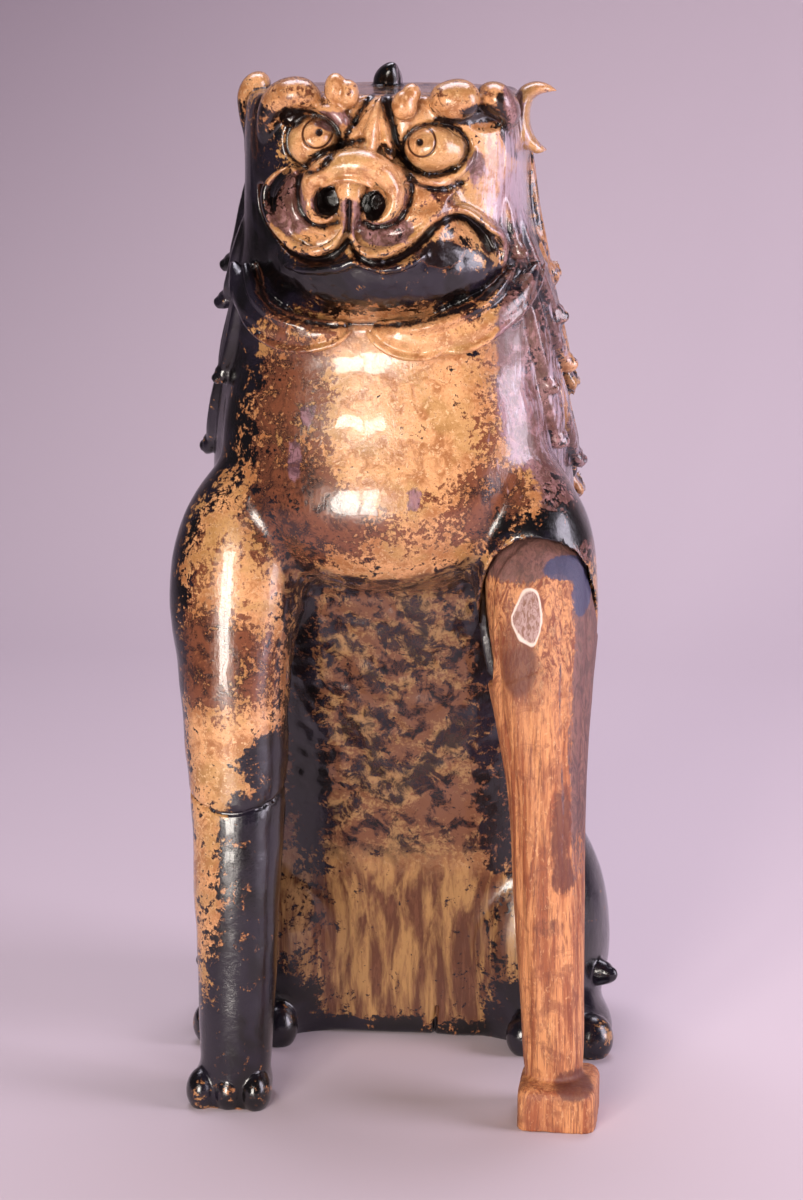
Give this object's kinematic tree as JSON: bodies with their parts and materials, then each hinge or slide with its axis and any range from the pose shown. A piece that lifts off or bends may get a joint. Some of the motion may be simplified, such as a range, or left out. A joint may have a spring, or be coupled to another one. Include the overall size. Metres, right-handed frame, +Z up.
{
  "type": "komainu statue",
  "caption": "Seated lion-dog guardian statue in dark brown and tan glazed stoneware, upright on straight forelegs, with a carved wooden replacement for its lost left foreleg.",
  "frame": {"origin": "centre of the bounding box at floor level, midway between the paws and the tail", "axes": "+Z up, -Y the way the figure faces, +X towards its own left side, the side of the wooden leg"},
  "size_m": [0.224, 0.2397, 0.5113],
  "materials": {
    "iron_glaze": "glossy iron glaze over stoneware, golden tan where thin and brown-black where thick, worn and pitted",
    "aged_wood": "bare orange-brown wood with tool marks, vertical grain, dark stains and remains of dark paint at the top"
  },
  "bodies": {
    "root": {"glazed_figure": "iron_glaze", "wooden_foreleg": "aged_wood"}
  },
  "joints": []
}
